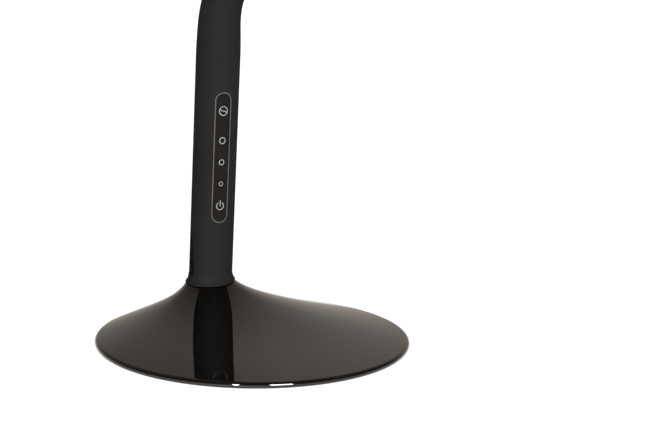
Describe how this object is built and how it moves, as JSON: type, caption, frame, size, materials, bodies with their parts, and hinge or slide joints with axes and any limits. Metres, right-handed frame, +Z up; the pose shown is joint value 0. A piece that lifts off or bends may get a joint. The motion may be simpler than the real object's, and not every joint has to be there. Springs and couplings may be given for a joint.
{
  "type": "gooseneck desk lamp",
  "caption": "Desk lamp with a weighted round base, a rigid stem with a touch panel, a bendable sleeved neck and a slim LED bar head.",
  "frame": {"origin": "centre of the underside of the base, where its foam pad stands on the desk", "axes": "+Z up, -Y towards the user, on the touch panel's side, +X to the user's right; the stem stands at the rear, at +Y"},
  "size_m": [0.3387, 0.2782, 0.3097],
  "materials": {
    "gloss_shell": "polished, warm black",
    "iron": "as cast",
    "steel_plate": "stamped, painted black",
    "foam": "foam, matte",
    "fastener": "zinc plated",
    "soft_black": "soft touch, matte",
    "panel": "satin, warm dark",
    "board": "solder mask",
    "chip": "moulded",
    "jack": "moulded",
    "contact": "plated",
    "machined": "turned",
    "wire": "extruded jacket",
    "sleeve": "silicone, matte",
    "conduit": "wound strip",
    "spreader": "rolled",
    "led_board": "white solder mask",
    "led": "phosphor",
    "diffuser": "frosted"
  },
  "bodies": {
    "stand": {"base_shell": "gloss_shell", "base_weight": "iron", "base_plate": "steel_plate", "base_pad": "foam", "base_screws": "fastener", "stem_bolt": "fastener", "stem_washer": "fastener", "stem_plug": "machined", "stem_tube": "soft_black", "touch_panel": "panel", "touch_board": "board", "driver_board": "board", "driver_parts": "chip", "dc_jack": "jack", "dc_pin": "contact", "neck_ferrule": "machined", "ferrule_screws": "fastener", "stem_lead": "wire", "neck_sleeve_0": "sleeve", "neck_conduit_0": "conduit"},
    "link_1": {"neck_sleeve_1": "sleeve", "neck_conduit_1": "conduit", "neck_lead_1": "wire"},
    "link_2": {"neck_sleeve_2": "sleeve", "neck_conduit_2": "conduit", "neck_lead_2": "wire"},
    "link_3": {"neck_sleeve_3": "sleeve", "neck_conduit_3": "conduit", "neck_lead_3": "wire"},
    "link_4": {"neck_sleeve_4": "sleeve", "neck_conduit_4": "conduit", "neck_lead_4": "wire"},
    "link_5": {"neck_sleeve_5": "sleeve", "neck_conduit_5": "conduit", "neck_lead_5": "wire"},
    "link_6": {"neck_sleeve_6": "sleeve", "neck_conduit_6": "conduit", "neck_lead_6": "wire"},
    "link_7": {"neck_sleeve_7": "sleeve", "neck_conduit_7": "conduit", "neck_lead_7": "wire"},
    "link_8": {"neck_sleeve_8": "sleeve", "neck_conduit_8": "conduit", "neck_lead_8": "wire"},
    "link_9": {"neck_sleeve_9": "sleeve", "neck_conduit_9": "conduit", "neck_lead_9": "wire"},
    "head": {"neck_sleeve_10": "sleeve", "neck_conduit_10": "conduit", "head_collar": "soft_black", "head_cover": "soft_black", "head_spreader": "spreader", "led_board": "led_board", "led_chips": "led", "head_diffuser": "diffuser", "head_bezel": "soft_black", "head_screws": "fastener", "head_lead": "wire"}
  },
  "joints": [
    {"name": "neck_bend_low", "type": "hinge", "parent": "stand", "child": "link_1", "pos_m": [0, 0.06449, 0.20573], "axis": [0.7071, 0.7049, 0.0555], "range_deg": [-18, 5]},
    {"name": "neck_turn_low", "type": "hinge", "parent": "link_1", "child": "link_2", "pos_m": [0.00429, 0.05855, 0.22648], "axis": [0.6485, -0.6152, -0.4484], "range_deg": [-12, 12]},
    {"name": "neck_bend_low_2", "type": "hinge", "parent": "link_2", "child": "link_3", "pos_m": [0.0123, 0.04908, 0.24465], "axis": [0.7071, 0.7049, 0.0555], "range_deg": [-18, 5]},
    {"name": "neck_turn_low_2", "type": "hinge", "parent": "link_3", "child": "link_4", "pos_m": [0.02291, 0.03725, 0.25985], "axis": [0.4777, -0.4184, -0.7725], "range_deg": [-12, 12]},
    {"name": "neck_bend_low_3", "type": "hinge", "parent": "link_4", "child": "link_5", "pos_m": [0.03517, 0.02396, 0.2724], "axis": [0.7071, 0.7049, 0.0555], "range_deg": [-18, 5]},
    {"name": "neck_turn_high", "type": "hinge", "parent": "link_5", "child": "link_6", "pos_m": [0.0485, 0.00978, 0.28265], "axis": [0.3265, -0.2559, -0.9099], "range_deg": [-15, 15]},
    {"name": "neck_bend_high", "type": "hinge", "parent": "link_6", "child": "link_7", "pos_m": [0.06271, -0.00509, 0.29045], "axis": [0.7071, 0.7049, 0.0555], "range_deg": [-16, 10]},
    {"name": "neck_turn_high_2", "type": "hinge", "parent": "link_7", "child": "link_8", "pos_m": [0.07767, -0.02047, 0.29532], "axis": [0.1349, -0.0575, -0.9892], "range_deg": [-15, 15]},
    {"name": "neck_bend_high_2", "type": "hinge", "parent": "link_8", "child": "link_9", "pos_m": [0.09314, -0.03608, 0.2964], "axis": [0.7071, 0.7049, 0.0555], "range_deg": [-16, 10]},
    {"name": "neck_turn_high_3", "type": "hinge", "parent": "link_9", "child": "head", "pos_m": [0.10866, -0.05143, 0.29365], "axis": [-0.1045, 0.1818, -0.9778], "range_deg": [-15, 15]}
  ],
  "couplings": [
    {"joint": "neck_bend_low_2", "follows": "neck_bend_low", "ratio": 1},
    {"joint": "neck_turn_low_2", "follows": "neck_turn_low", "ratio": 1},
    {"joint": "neck_bend_low_3", "follows": "neck_bend_low", "ratio": 1},
    {"joint": "neck_turn_high_2", "follows": "neck_turn_high", "ratio": 1},
    {"joint": "neck_bend_high_2", "follows": "neck_bend_high", "ratio": 1},
    {"joint": "neck_turn_high_3", "follows": "neck_turn_high", "ratio": 1}
  ]
}
